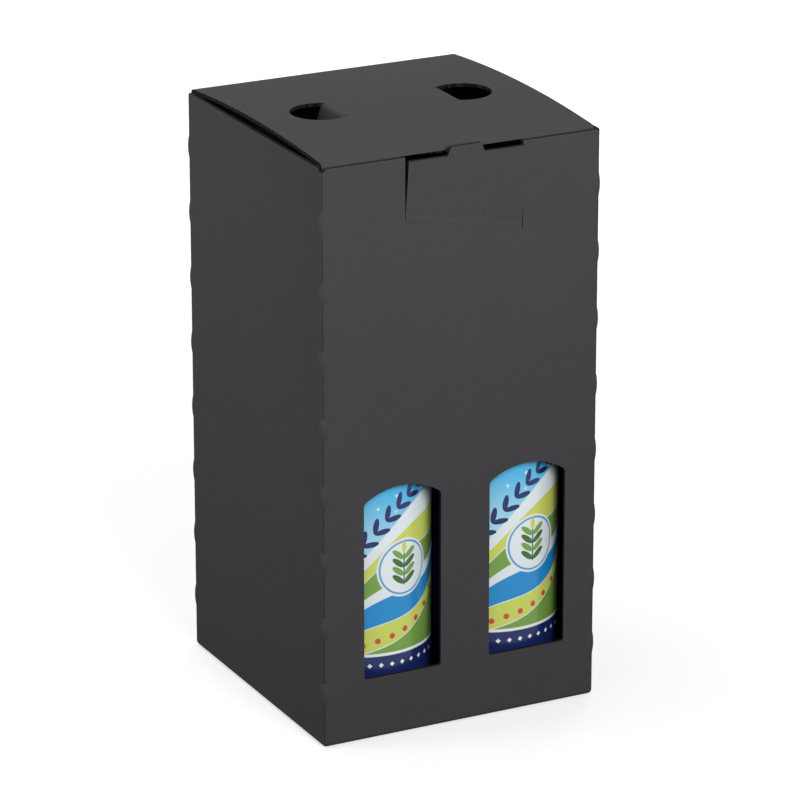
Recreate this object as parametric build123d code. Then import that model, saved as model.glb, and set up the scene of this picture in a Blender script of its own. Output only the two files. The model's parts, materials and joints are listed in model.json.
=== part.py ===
from build123d import *
import os
from math import atan2, cos, degrees, hypot, pi, sin, sqrt

# A folding carton of fine-flute card that carries long-neck bottles.
# Millimetres. X runs to the right, Y to the back, Z up, from the middle of the base's underside.

# Card
board = 1.6
fold_flat = 0.94
hinge_gap = 0.35
glue_flap_width = 22.0
glue_flap_taper = 12.0
seam_width = 0.5

# Bottle, its wrap and its crown cap
bottle_radius = 30.25
glass_wall = 2.6
heel_inset = 3.0
heel_rise = 4.0
floor_glass = 6.0
shoulder_rise = 56.0
shoulder_bands = 4
turned_flats = 24
neck_radius = 14.2
neck_top_radius = 13.3
neck_length = 34.0
ring_radius = 14.3
ring_height = 4.0
throat_radius = 12.3
throat_height = 8.0
lip_radius = 13.2
lip_height = 4.5
lip_chamfer = 1.2
mouth_radius = 8.3
neck_wall = 3.4
drink_gap = 0.1
fill_depth = 62.0
label_paper = 0.2
label_glue = 0.05
label_wrap = 250.0
label_margin = 8.0
label_to_shoulder = 6.0
cap_metal = 0.4
cap_height = 6.0
cap_rim_radius = 15.2
cap_clearance = 0.15
flute_count = 21
flute_depth = 0.8

# Windows in the front wall
window_sill = 27.7
window_width = 36.3
window_straight = 78.9
window_arch_rise = 6.0
window_corner = 1.2
window_pitch = 59.4
window_shift = 2.0

# Room for the bottles
bottle_gap = 0.6
wall_clearance = 2.1
headroom = 21.5

# Cut-and-bridge folds of the upright edges
bridge_count = 8
bridge_length = 10.0
bridge_bulge = 0.9
bridge_flats = 8
bridge_end_distance = 24.0
cut_groove = 0.6

# Base flaps, locked at the middle by a stepped lap
base_lap = 12.0
base_lap_slope = 10.0
base_side_reach = 50.0
base_side_gap = 0.6
base_edge_groove = 0.7

# Lid
lid_side_gap = 0.4
lid_front_gap = 0.35
lid_lift = 0.2
lid_front_rise = 0.3
lid_bow = 2.7
fold_bend = 1.2
tuck_depth = 20.0
tuck_corner = 8.0
hole_radius = 12.9
hole_spread = 67.0
hole_chord = 7.9
flap_gap = 0.4
flap_neck = 1.4
flap_drop = 80.0

# Lock tab in the front wall, and the slot of the lid that takes its nose
tab_width = 54.8
tab_shift = 0.8
tab_left_slit = 25.8
tab_right_slit = 36.6
slit_width = 0.35
tab_shoulder = 2.1
nose_width = 17.2
nose_rise = 2.4
nose_slope = 1.6
tab_lean = 3.0
slot_margin = 0.8
slot_setback = 1.0
slot_drop = 4.0

# Sizes that follow
label_radius = bottle_radius + label_glue + label_paper
bottle_centre = label_radius + bottle_gap / 2
inner_width = 4 * label_radius + bottle_gap + 2 * wall_clearance
carrier_width = inner_width + 2 * board
carrier_depth = carrier_width
half_width = carrier_width / 2
half_depth = carrier_depth / 2
bottle_floor = 2 * board
window_spring = window_sill + window_straight
window_top = window_spring + window_arch_rise
label_bottom = window_sill - label_margin - bottle_floor
label_top = window_top + label_margin - bottle_floor
shoulder_start = label_top + label_to_shoulder
neck_start = shoulder_start + shoulder_rise
ring_start = neck_start + neck_length
throat_start = ring_start + ring_height
lip_start = throat_start + throat_height
bottle_height = lip_start + lip_height
wall_height = bottle_floor + bottle_height + cap_metal + headroom
hinge_y = half_depth - board / 2
hinge_z = wall_height + lid_lift
lid_width = inner_width - 2 * lid_side_gap
lid_front_y = -(half_depth - board) + lid_front_gap + board / 2 + fold_bend
lid_front_z = hinge_z + lid_front_rise
lid_middle_y = (hinge_y + lid_front_y) / 2
lid_middle_z = (hinge_z + lid_front_z) / 2 + lid_bow
tab_left = tab_shift - tab_width / 2
tab_right = tab_shift + tab_width / 2
crease_left = wall_height - tab_left_slit
crease_right = wall_height - tab_right_slit
crease_slope = (crease_right - crease_left) / tab_width
crease_start = (tab_left, -(half_depth - board / 2), crease_left)
crease_axis = Axis(crease_start, (tab_width, 0, crease_right - crease_left))
flap_hinge_x = hole_spread / 2 - hole_chord + board / 2 + hinge_gap
reach = 4 * carrier_width


def front_prism(face, front, back):
    """A face drawn on the front view, X to the right and Z up, carried from front to back."""
    return Pos(0, back, 0) * extrude(Plane.XZ * face, back - front)


def bridge_heights():
    """Middle heights of the bridges that join two walls across an upright fold."""
    step = (wall_height - 2 * bridge_end_distance) / (bridge_count - 1)
    return [bridge_end_distance + step * i for i in range(bridge_count)]


def cut_spans():
    """Lower and upper ends of the cuts between the bridges."""
    edges = [0.0]
    for height in bridge_heights():
        edges += [height - bridge_length / 2, height + bridge_length / 2]
    edges.append(wall_height)
    return list(zip(edges[0::2], edges[1::2]))


def drawn_in(radius, end_radius, height, flats):
    """A prism of flats round Z that narrows towards its upper end."""
    inward = (radius - end_radius) * cos(pi / flats)
    return extrude(RegularPolygon(radius, flats), height, taper=degrees(atan2(inward, height)))


def turned(outline, flats):
    """A solid turned round Z in flats, from radii and heights that run upwards."""
    solid = None
    for (low_radius, low), (high_radius, high) in zip(outline, outline[1:]):
        if high == low:
            continue
        if high_radius <= low_radius:
            band = Pos(0, 0, low) * drawn_in(low_radius, high_radius, high - low, flats)
        else:
            band = Pos(0, 0, high) * Rot(180, 0, 0) * drawn_in(high_radius, low_radius, high - low, flats)
        solid = solid + band if solid else band
    return solid


def bridge_bulge_form():
    """The card of one bridge, folded out in flats round the inner corner of the fold."""
    end = bridge_length / 2
    outline = [(board, -end), (board + bridge_bulge, 0), (board, end)]
    return Rot(0, 0, 180 / bridge_flats) * turned(outline, bridge_flats)


def window_face(centre):
    """One arch-topped window, seen from the front."""
    half = window_width / 2
    sill = Line((centre - half, window_sill), (centre + half, window_sill))
    right = Line(sill @ 1, (centre + half, window_spring))
    arch = ThreePointArc(right @ 1, (centre, window_top), (centre - half, window_spring))
    left = Line(arch @ 1, sill @ 0)
    face = make_face([sill, right, arch, left])
    return fillet(face.vertices(), window_corner)


def tab_opening():
    """The hole that the lock tab leaves in the front wall, seen from the front."""
    below = (board / 2 + hinge_gap) * hypot(1, crease_slope)
    top = wall_height + board
    corners = [
        (tab_left, crease_left - below),
        (tab_right, crease_right - below),
        (tab_right, top),
        (tab_left, top),
    ]
    return make_face(Polyline(*corners, close=True))


def base_seam():
    """The stepped line where the front and the back base flap lock."""
    half = inner_width / 2
    step = seam_width / 2
    corners = [
        (-half, -base_lap - step),
        (-base_lap_slope + step, -base_lap - step),
        (base_lap_slope + step, base_lap - step),
        (half, base_lap - step),
        (half, base_lap + step),
        (base_lap_slope - step, base_lap + step),
        (-base_lap_slope - step, -base_lap + step),
        (-half, -base_lap + step),
    ]
    return extrude(make_face(Polyline(*corners, close=True)), board)


def base_side_flap(side):
    """One side flap of the base, glued on top of the front and back flaps."""
    root = side * inner_width / 2
    tip = side * (inner_width / 2 - base_side_reach)
    root_half = half_depth - board - base_side_gap
    tip_half = root_half - base_side_reach / 2
    corners = [(root, -root_half), (root, root_half), (tip, tip_half), (tip, -tip_half)]
    return Pos(0, 0, board) * extrude(make_face(Polyline(*corners, close=True)), board)


def glue_flap():
    """The strip of the back wall that is glued inside the right wall."""
    root = half_depth - board
    low = bottle_floor + board
    high = wall_height - 2 * board
    corners = [
        (root, low),
        (root, high),
        (root - glue_flap_width, high - glue_flap_taper),
        (root - glue_flap_width, low + glue_flap_taper),
    ]
    face = make_face(Polyline(*corners, close=True))
    return Pos(inner_width / 2, 0, 0) * extrude(Plane.YZ * face, -board)


def carrier_sleeve():
    """Walls, base and glue flap: one sheet, folded round the bottles."""
    block = Pos(0, 0, wall_height / 2) * Box(carrier_width, carrier_depth, wall_height)
    folded = []
    for edge in block.edges().filter_by(Axis.Z):
        if edge.center().X < 0 or edge.center().Y < 0:
            folded.append(edge)
    block = chamfer(folded + block.faces().sort_by(Axis.Z)[0].edges(), fold_flat)
    corner = half_width - board
    groove_place = half_width - fold_flat / 2
    groove_side = cut_groove * sqrt(2)
    for x, y in [(-1, -1), (1, -1), (-1, 1)]:
        for height in bridge_heights():
            block += Pos(x * corner, y * corner, height) * bridge_bulge_form()
        for low, high in cut_spans():
            groove = Box(groove_side, groove_side, high - low)
            block -= Pos(x * groove_place, y * groove_place, (low + high) / 2) * groove
    cavity = Pos(0, 0, board + reach / 2) * Box(inner_width, inner_width, reach)
    sleeve = block - cavity
    for side in (-1, 1):
        sleeve += base_side_flap(side)
        sleeve -= front_prism(window_face(window_shift + side * window_pitch / 2), -reach, 0)
        groove = Box(base_edge_groove, inner_width, base_edge_groove)
        sleeve -= Pos(side * (inner_width / 2), 0, 0) * groove
    sleeve -= front_prism(tab_opening(), -reach, 0)
    sleeve -= base_seam()
    sleeve += glue_flap()
    sleeve -= Pos(inner_width / 2, half_depth, wall_height / 2) * Box(seam_width, board, wall_height)
    back_top = hinge_z - board / 2 - hinge_gap
    sleeve -= Pos(0, half_depth, back_top + board) * Box(inner_width, 4 * board, 2 * board)
    return sleeve


def finger_hole(side, radius, chord_x):
    """A circle cut off by a straight line on the side of the lid's middle, seen from above."""
    circle = Pos(side * hole_spread / 2, 0) * Circle(radius)
    keep = Pos(side * (chord_x + reach / 2), 0) * Rectangle(reach, reach)
    return circle & keep


def tuck_setback():
    """How far the tuck flap's end stands back, so that it clears the front wall as the lid swings."""
    swing = hinge_y - lid_front_y
    return tuck_depth ** 2 / (2 * swing) + hinge_gap


def lid():
    """Top panel, bowed up between its folds, with the tuck flap behind the front wall."""
    panel = ThreePointArc(
        (hinge_y, hinge_z), (lid_middle_y, lid_middle_z), (lid_front_y, lid_front_z)
    )
    heading = panel % 1
    turn = 270 - degrees(atan2(heading.Y, heading.X)) % 360
    lean = degrees(atan2(tuck_setback(), tuck_depth))
    fold = JernArc(panel @ 1, heading, fold_bend, turn + lean)
    tuck = Line(fold @ 1, (fold @ 1) + (fold % 1) * tuck_depth)
    section = make_face(offset(Wire([panel, fold, tuck]), board / 2, side=Side.BOTH))
    sheet = extrude(Plane.YZ * section, lid_width / 2, both=True)
    tuck_end = (tuck @ 1).Y - board / 2
    outline = Pos(0, tuck_end + reach / 2) * RectangleRounded(lid_width, reach, tuck_corner)
    sheet = sheet & front_prism(outline, -reach, reach)
    for side in (-1, 1):
        hole = finger_hole(side, hole_radius, hole_spread / 2 - hole_chord)
        sheet -= Pos(0, 0, wall_height) * extrude(hole, reach, both=True)
    slot_length = tab_width + 2 * slot_margin
    wall_back = -(half_depth - board)
    panel_under = lid_front_z - board / 2
    over = Box(slot_length, reach, reach, align=(Align.CENTER, Align.MAX, Align.MIN))
    sheet -= Pos(tab_shift, wall_back + slot_setback, wall_height - slot_drop) * over
    under_depth = panel_under - wall_height + slot_drop
    under = Box(slot_length, reach, under_depth, align=(Align.CENTER, Align.MAX, Align.MIN))
    sheet -= Pos(tab_shift, lid_front_y + board, wall_height - slot_drop) * under
    return sheet


def lock_tab():
    """Tongue between the slits of the front wall, hinged on its crease and leaning out a little."""
    left = tab_left + slit_width
    right = tab_right - slit_width
    shoulder = wall_height - tab_shoulder
    nose_left = tab_shift - nose_width / 2
    nose_right = tab_shift + nose_width / 2
    nose_top = wall_height + nose_rise
    corners = [
        (left, crease_left + slit_width * crease_slope),
        (right, crease_right - slit_width * crease_slope),
        (right, shoulder),
        (nose_right, shoulder),
        (nose_right - nose_slope, nose_top),
        (nose_left + nose_slope, nose_top),
        (nose_left, shoulder),
        (left, shoulder),
    ]
    plate = front_prism(make_face(Polyline(*corners, close=True)), -half_depth, board - half_depth)
    bead = extrude(Plane(crease_start, z_dir=crease_axis.direction) * Circle(board / 2), reach, both=True)
    between = Box(right - left, reach, reach)
    bead = bead & Pos(tab_shift, 0, wall_height) * between
    return (plate + bead).rotate(crease_axis, tab_lean)


def finger_flap(side):
    """D-shaped flap of a finger hole, pushed down about its straight edge."""
    face = finger_hole(side, hole_radius - flap_gap, flap_hinge_x)
    chord_distance = hole_spread / 2 - flap_hinge_x
    half_chord = sqrt((hole_radius - flap_gap) ** 2 - chord_distance ** 2)
    neck_end = side * (flap_hinge_x + flap_neck)
    far_end = side * (flap_hinge_x + flap_neck + hole_radius)
    for end in (-1, 1):
        shoulder = end * half_chord
        wide = end * (half_chord + hole_radius)
        corners = [(0, shoulder), (neck_end, shoulder), (far_end, wide), (0, wide)]
        face -= make_face(Polyline(*corners, close=True))
    plate = extrude(face, board / 2, both=True)
    bead = Rot(90, 0, 0) * Cylinder(board / 2, 2 * half_chord)
    flap = plate + Pos(side * flap_hinge_x, 0, 0) * bead
    hinge = Axis((side * flap_hinge_x, 0, 0), (0, side, 0))
    return Pos(0, 0, lid_middle_z) * flap.rotate(hinge, flap_drop)


def shoulder_curve(body, neck):
    """Radii and heights of the shoulder, a half wave from the body to the neck."""
    points = []
    for i in range(shoulder_bands + 1):
        wave = (1 + cos(pi * i / shoulder_bands)) / 2
        points.append((neck + (body - neck) * wave, shoulder_start + shoulder_rise * i / shoulder_bands))
    return points


def bottle_outside():
    """Outline of the glass from the foot to the lip."""
    foot = [(bottle_radius - heel_inset, 0), (bottle_radius, heel_rise)]
    finish = [
        (neck_top_radius, ring_start),
        (ring_radius, ring_start),
        (ring_radius, throat_start),
        (throat_radius, throat_start),
        (throat_radius, lip_start),
        (lip_radius, lip_start),
        (lip_radius, bottle_height - lip_chamfer),
        (lip_radius - lip_chamfer, bottle_height),
    ]
    return turned(foot + shoulder_curve(bottle_radius, neck_radius) + finish, turned_flats)


def bottle_inside(inset, top):
    """Hollow of the bottle up to a height, drawn in by an inset."""
    body = bottle_radius - glass_wall - inset
    neck = neck_radius - neck_wall - inset
    mouth = mouth_radius - inset
    floor = floor_glass + inset
    foot = [(body - heel_inset, floor), (body, floor + heel_rise)]
    finish = [(mouth, ring_start), (mouth, top)]
    return turned(foot + shoulder_curve(body, neck) + finish, turned_flats)


def bottle():
    """Long-neck bottle of blown glass."""
    return bottle_outside() - bottle_inside(0, bottle_height + board)


def drink():
    """What fills the bottle, up to the fill line in the shoulder."""
    level = bottle_height - fill_depth
    below = Pos(0, 0, level) * Box(reach, reach, reach, align=(Align.CENTER, Align.CENTER, Align.MAX))
    return bottle_inside(drink_gap, bottle_height) & below


def label():
    """Paper wrap, its middle to the front and its open strip at the back."""
    height = label_top - label_bottom
    outside = RegularPolygon(label_radius, turned_flats)
    inside = RegularPolygon(bottle_radius + label_glue, turned_flats)
    half_open = (360 - label_wrap) / 2 * pi / 180
    corner = (reach * sin(half_open), reach * cos(half_open))
    gap = make_face(Polyline((0, 0), corner, (-corner[0], corner[1]), close=True))
    return Pos(0, 0, label_bottom) * extrude(outside - inside - gap, height)


def crown_cap():
    """Crown cap: a chamfered roof over the lip and a flared skirt with flutes that fade out upwards."""
    top = bottle_height + cap_metal
    inner = lip_radius + cap_clearance
    outer = inner + cap_metal
    rim = top - cap_height
    edge = top - lip_chamfer
    crown = turned([(cap_rim_radius, rim), (outer, edge), (outer - lip_chamfer, top)], 2 * flute_count)
    star = []
    for i in range(2 * flute_count):
        radius = cap_rim_radius + flute_depth * (-1) ** i
        turn = pi * i / flute_count
        star.append((radius * cos(turn), radius * sin(turn)))
    flutes = Pos(0, 0, rim) * extrude(make_face(Polyline(*star, close=True)), cap_height)
    hollow = [(inner, rim), (inner, bottle_height - lip_chamfer), (inner - lip_chamfer, bottle_height)]
    return (crown & flutes) - turned(hollow, turned_flats)


def write(node, solid):
    """One file for each piece."""
    export_step(solid, os.path.join("parts", node + ".step"))


os.makedirs("parts", exist_ok=True)
write("carrier_sleeve", carrier_sleeve())
write("lid", lid())
write("lock_tab", lock_tab())
write("finger_flap_left", finger_flap(-1))
write("finger_flap_right", finger_flap(1))
pieces = {"bottle": bottle(), "drink": drink(), "label": label(), "crown_cap": crown_cap()}
for row, y in (("front", -bottle_centre), ("back", bottle_centre)):
    for column, x in (("left", -bottle_centre), ("right", bottle_centre)):
        for name, solid in pieces.items():
            write(f"{name}_{row}_{column}", Pos(x, y, bottle_floor) * solid)
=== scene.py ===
# %% [markdown]
# # A bottle carrier of dark card
# This lesson dresses a tall folding carton that carries four long-neck bottles. The CAD model gives the
# sizes, the bodies that move and their hinges. Its solids could simply get a colour, but card looks like
# card through its soft folds, thin edges and cut slits. So each piece is modelled again with Blender's
# own operators and gets a finish made from nodes, and the walls and the bottles ride on the carton's
# body.

# %% Load the frame
import json
from math import asin, atan2, cos, hypot, pi, radians, sin, tan

import bmesh
import bpy
from mathutils import Matrix, Vector


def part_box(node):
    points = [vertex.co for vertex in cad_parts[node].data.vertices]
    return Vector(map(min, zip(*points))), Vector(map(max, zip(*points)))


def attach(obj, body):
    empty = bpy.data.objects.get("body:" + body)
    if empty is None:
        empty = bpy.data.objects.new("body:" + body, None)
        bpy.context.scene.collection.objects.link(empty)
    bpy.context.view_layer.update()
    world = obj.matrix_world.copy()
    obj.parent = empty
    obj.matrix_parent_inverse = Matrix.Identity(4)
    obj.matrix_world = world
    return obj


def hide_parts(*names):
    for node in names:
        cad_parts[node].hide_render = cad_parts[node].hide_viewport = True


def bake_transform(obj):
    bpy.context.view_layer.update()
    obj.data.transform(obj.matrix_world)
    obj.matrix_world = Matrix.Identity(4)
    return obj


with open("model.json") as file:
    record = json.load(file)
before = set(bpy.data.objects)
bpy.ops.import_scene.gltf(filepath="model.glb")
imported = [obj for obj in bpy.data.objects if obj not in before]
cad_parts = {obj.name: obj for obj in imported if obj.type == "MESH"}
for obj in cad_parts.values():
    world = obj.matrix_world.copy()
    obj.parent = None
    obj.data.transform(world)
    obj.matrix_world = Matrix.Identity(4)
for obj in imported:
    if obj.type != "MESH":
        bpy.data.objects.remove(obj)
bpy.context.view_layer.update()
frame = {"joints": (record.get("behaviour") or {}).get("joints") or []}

# %% [markdown]
# ## Sizes that everything shares
# A folded carton has few driving sizes: the sheet's thickness, the width of the square and the height of
# the walls. They could be typed in again, but read from the CAD boxes and hinges they can't drift away
# from the solids. The sleeve's box is measured over the bridges of the folds, which stand a little proud
# of the walls.

# %% Sizes from the frame
mm = 0.001
card = 1.6 * mm
bridge_proud = 0.71 * mm

sleeve_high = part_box("carrier_sleeve")[1]
half = sleeve_high.x - bridge_proud
wall_height = sleeve_high.z
hinges = {}
for joint in frame["joints"]:
    hinges[joint["name"]] = (Vector(joint["pos_m"]), Vector(joint["axis"]).normalized())
print("carton:", round(2 * half / mm, 2), "mm square,", round(wall_height / mm, 2), "mm high")

# %% [markdown]
# ## Helpers for finishes
# Card, glass and print are finishes: a Principled shader fed by texture nodes. Nodes could be placed and
# linked one by one in the shader editor, but a script with a few helpers can be read, repeated and
# changed. One helper starts a finish, one adds a node with its settings and inputs, one links an output,
# and one sets plain values. Colours are written as they look on screen, from 0 to 255, and are turned
# into the linear values that shaders use.

# %% Helpers for finishes
def linear(value):
    share = value / 255
    return share / 12.92 if share <= 0.04045 else ((share + 0.055) / 1.055) ** 2.4


def colour(red, green, blue):
    return linear(red), linear(green), linear(blue), 1.0


def new_finish(name):
    finish = bpy.data.materials.new(name)
    finish.use_nodes = True
    return finish, finish.node_tree.nodes["Principled BSDF"]


def add_node(finish, kind, inputs, **settings):
    node = finish.node_tree.nodes.new(kind)
    for name, value in settings.items():
        setattr(node, name, value)
    for socket, value in inputs.items():
        if isinstance(value, bpy.types.NodeSocket):
            finish.node_tree.links.new(value, node.inputs[socket])
        else:
            node.inputs[socket].default_value = value
    return node


def link(finish, output, socket):
    finish.node_tree.links.new(output, socket)


def set_values(shader, values):
    for name, value in values.items():
        shader.inputs[name].default_value = value


print("half grey on screen, 128, is", round(linear(128), 3), "in linear light")

# %% [markdown]
# Real surfaces vary from place to place, and that variation is arithmetic: a noise texture gives a value
# for each point, Math nodes scale and add such values, and a Bump node turns them into small hills. The
# places are object coordinates, in metres, so a pattern has a true size and stays on its piece when the
# piece moves.

# %% Places, sums, noise and bumps
def object_place(finish):
    return add_node(finish, "ShaderNodeTexCoord", {}).outputs["Object"]


def split(finish, vector):
    return add_node(finish, "ShaderNodeSeparateXYZ", {0: vector}).outputs


def calc(finish, operation, first, second=0.0, third=0.0):
    node = add_node(finish, "ShaderNodeMath", {0: first, 1: second, 2: third}, operation=operation)
    return node.outputs[0]


def noise(finish, place, scale, detail):
    inputs = {"Vector": place, "Scale": scale, "Detail": detail}
    return add_node(finish, "ShaderNodeTexNoise", inputs).outputs["Fac"]


def bump(finish, height, strength, depth, under=None):
    inputs = {"Height": height, "Strength": strength, "Distance": depth}
    if under is not None:
        inputs["Normal"] = under
    return add_node(finish, "ShaderNodeBump", inputs).outputs["Normal"]


# %% [markdown]
# ## The card
# The sheet is fine-flute card, dyed dark and smooth on the outside: matt, with short fibres, a little
# mottling from the dye and a very faint washboard from the flutes underneath. One flat grey would look
# like plastic, and a picture of card would repeat. So three noises shift the colour by a few percent,
# fibres and flutes drive a small bump, and a second bump with long waves keeps the panels from looking
# dead flat. Flutes run up the walls and from back to front in the lid. Walls and lid therefore get a
# finish each, which differ only in the coordinate that runs across the flutes.

# %% The card
card_colour = colour(69, 69, 71)
liner_colour = colour(48, 48, 49)
# The score's darker tone is painted shade, standing in for the shade in the fold's groove.
score_shade_colour = colour(57, 57, 59)
flute_pitch = 3.3 * mm
flute_share = 0.10
fibre_stretch = (1.0, 1.0, 0.22)
fibre_shift = 0.28
fibre_depth = 0.06 * mm
mottle_shift = 0.16
speck_shift = 0.10
buckle_depth = 1.2 * mm
matt = 0.72
matt_swing = 0.16


def flute_wave(finish, along):
    return calc(finish, "SINE", calc(finish, "MULTIPLY", along, 2 * pi / flute_pitch))


def card_finish(name, base, panels):
    finish, shader = new_finish(name)
    place = object_place(finish)
    axes = split(finish, place)
    along = axes["X"]
    if panels == "walls":
        along = calc(finish, "ADD", axes["X"], axes["Y"])
    stretched = add_node(finish, "ShaderNodeMapping", {"Vector": place, "Scale": fibre_stretch})
    fibres = noise(finish, stretched.outputs["Vector"], scale=1400.0, detail=5.0)
    mottle = noise(finish, place, scale=26.0, detail=3.0)
    specks = noise(finish, place, scale=420.0, detail=2.0)
    shade = 1.0
    for texture, shift in ((fibres, fibre_shift), (mottle, mottle_shift), (specks, speck_shift)):
        shade = calc(finish, "MULTIPLY_ADD", calc(finish, "SUBTRACT", texture, 0.5), shift, shade)
    tinted = add_node(finish, "ShaderNodeVectorMath", {0: base[:3], 3: shade}, operation="SCALE")
    link(finish, tinted.outputs["Vector"], shader.inputs["Base Color"])
    waves = noise(finish, place, scale=11.0, detail=1.0)
    buckle = bump(finish, waves, strength=1.0, depth=buckle_depth)
    relief = calc(finish, "MULTIPLY_ADD", flute_wave(finish, along), flute_share, fibres)
    grain = bump(finish, relief, strength=0.35, depth=fibre_depth, under=buckle)
    link(finish, grain, shader.inputs["Normal"])
    link(finish, calc(finish, "MULTIPLY_ADD", mottle, matt_swing, matt), shader.inputs["Roughness"])
    set_values(shader, {"Specular IOR Level": 0.03})
    return finish


wall_card = card_finish("dark_card_walls", card_colour, "walls")
lid_card = card_finish("dark_card_lid", card_colour, "lid")
wall_liner = card_finish("dark_liner_walls", liner_colour, "walls")
lid_liner = card_finish("dark_liner_lid", liner_colour, "lid")
wall_score_shade = card_finish("score_shade_walls", score_shade_colour, "walls")
card_finishes = (wall_card, lid_card, wall_liner, lid_liner, wall_score_shade)
print("card finishes:", [finish.name for finish in card_finishes])

# %% [markdown]
# ## Cut edges
# Where the die cut the sheet, its core shows: a fine wave of paper between two liners, dyed nearly
# black. Each flute could be modelled, but the edge is under two millimetres thick, so a wave along the
# edge darkens it in step with the flutes instead: painted shade for the hollows between the flutes, over
# the core's own dark colour. Coarse noise makes it ragged. Two more helpers are needed: one turns a
# value into a soft-edged mask, and one lays a colour over another through a mask.

# %% Cut edges
dark_core_and_hollow_shade = colour(13, 13, 13)
edge_light = colour(34, 33, 32)
edge_depth = 0.15 * mm
raggedness = 1.6
shade_start = 0.2
shade_end = 1.9


def edge_mask(finish, value, start, end):
    inputs = {"Value": value, "From Min": start, "From Max": end}
    node = add_node(finish, "ShaderNodeMapRange", inputs, interpolation_type="SMOOTHSTEP")
    return node.outputs["Result"]


def lay_over(finish, under, over, mask):
    node = add_node(finish, "ShaderNodeMix", {0: mask, 6: under, 7: over}, data_type="RGBA")
    return node.outputs[2]


cut_edge, cut_shader = new_finish("cut_edge")
place = object_place(cut_edge)
axes = split(cut_edge, place)
wave = flute_wave(cut_edge, calc(cut_edge, "ADD", axes["X"], axes["Y"]))
coarse = noise(cut_edge, place, scale=900.0, detail=3.0)
ragged = calc(cut_edge, "MULTIPLY_ADD", coarse, raggedness, wave)
# The darker colour is the core's own dark and, in the troughs of the wave, painted shade for the flute
# hollows.
core = lay_over(cut_edge, dark_core_and_hollow_shade, edge_light, edge_mask(cut_edge, ragged, shade_start, shade_end))
link(cut_edge, core, cut_shader.inputs["Base Color"])
link(cut_edge, bump(cut_edge, ragged, strength=0.6, depth=edge_depth), cut_shader.inputs["Normal"])
set_values(cut_shader, {"Roughness": 0.95, "Specular IOR Level": 0.1})
print("cut edge finish:", cut_edge.name)

# %% [markdown]
# ## The folded walls
# The walls and the base are one sheet, folded round and glued at the back right corner. It could be
# drawn flat and folded up panel by panel, but a box without its top already has every panel in its
# place. Bevelling its upright and lower edges gives the rounded folds. The back right edge stays sharp,
# because there the sheet ends and is glued, not folded.

# %% The folded walls
fold_radius = 1.9 * mm
fold_segments = 10

shell = bmesh.new()
bmesh.ops.create_cube(shell, size=1.0)
bmesh.ops.scale(shell, vec=(2 * half, 2 * half, wall_height), verts=shell.verts)
bmesh.ops.translate(shell, vec=(0, 0, wall_height / 2), verts=shell.verts)
top = [face for face in shell.faces if face.normal.z > 0.5]
bmesh.ops.delete(shell, geom=top, context="FACES_ONLY")
folded = []
for edge in shell.edges:
    middle = (edge.verts[0].co + edge.verts[1].co) / 2
    upright = abs(edge.verts[0].co.z - edge.verts[1].co.z) > half
    glued = middle.x > 0 and middle.y > 0
    if (upright and not glued) or middle.z < half / 2:
        folded.append(edge)
bmesh.ops.bevel(shell, geom=folded, offset=fold_radius, offset_type="OFFSET", segments=fold_segments,
                profile=0.5, affect="EDGES", material=-1)
print("folded edges:", len(folded), "faces:", len(shell.faces))

# %% [markdown]
# ## Bridges along the folds
# The die scores each upright fold in stretches and leaves bridges of card between them. A bridge goes
# round the corner in one piece and swells outwards, which gives the carton's outline its row of small
# bumps. A displacement texture would need a dense mesh on every wall. Plane cuts give the mesh rows only
# where a bridge needs them, and then the points of those rows are moved.

# %% Rows for the bridges
bridge_count = 8
bridge_length = 10 * mm
bridge_ends = 24 * mm
row_shares = [-1.05] + [step / 5 for step in range(-5, 6)] + [1.05]
swell_reach = 1.6 * mm
columns = (0.5 * mm, 1.0 * mm, swell_reach)
fold_line = half - fold_radius


def everything(bm):
    return bm.verts[:] + bm.edges[:] + bm.faces[:]


def slice_at(bm, point, normal):
    bmesh.ops.bisect_plane(bm, geom=everything(bm), dist=1e-7, plane_co=point, plane_no=normal)


bridge_step = (wall_height - 2 * bridge_ends) / (bridge_count - 1)
bridges = [bridge_ends + bridge_step * i for i in range(bridge_count)]
for bridge in bridges:
    for share in row_shares:
        slice_at(shell, (0, 0, bridge + share * bridge_length / 2), (0, 0, 1))
for inward in columns:
    for side in (-1, 1):
        slice_at(shell, (side * (fold_line - inward), 0, 0), (1, 0, 0))
        slice_at(shell, (0, side * (fold_line - inward), 0), (0, 1, 0))
print("bridges on each fold:", bridge_count, "pitch", round(bridge_step / mm, 2), "mm")

# %% [markdown]
# A bridge swells most at its middle. The swell fades out along the fold, as a parabola, and across the
# fold into the two walls. Each point near a fold moves straight away from the fold's axis, by the swell
# at its height times the fade.

# %% Bridges that swell
bridge_swell = 0.52 * mm


def ease(share):
    share = min(max(share, 0.0), 1.0)
    return share * share * (3 - 2 * share)


def bridge_share(height):
    """0 at the middle of a bridge, 1 at its ends and between the bridges."""
    nearest = min(abs(height - bridge) for bridge in bridges)
    return min(nearest / (bridge_length / 2), 1.0)


for vert in shell.verts:
    if vert.co.z < 2 * fold_radius or (vert.co.x > 0 and vert.co.y > 0):
        continue
    out_x = abs(vert.co.x) - fold_line
    out_y = abs(vert.co.y) - fold_line
    if max(out_x, out_y) < fold_radius / 2 or min(out_x, out_y) < -swell_reach:
        continue
    swell = bridge_swell * (1 - bridge_share(vert.co.z) ** 2)
    fade = ease(1 + min(out_x, out_y, 0) / swell_reach)
    push = Vector((max(out_x, 0), max(out_y, 0), 0)).normalized() * swell * fade
    vert.co.x += push.x * (1 if vert.co.x > 0 else -1)
    vert.co.y += push.y * (1 if vert.co.y > 0 else -1)
print("widest over the bridges:", round(2 * max(vert.co.x for vert in shell.verts) / mm, 2), "mm")

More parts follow.
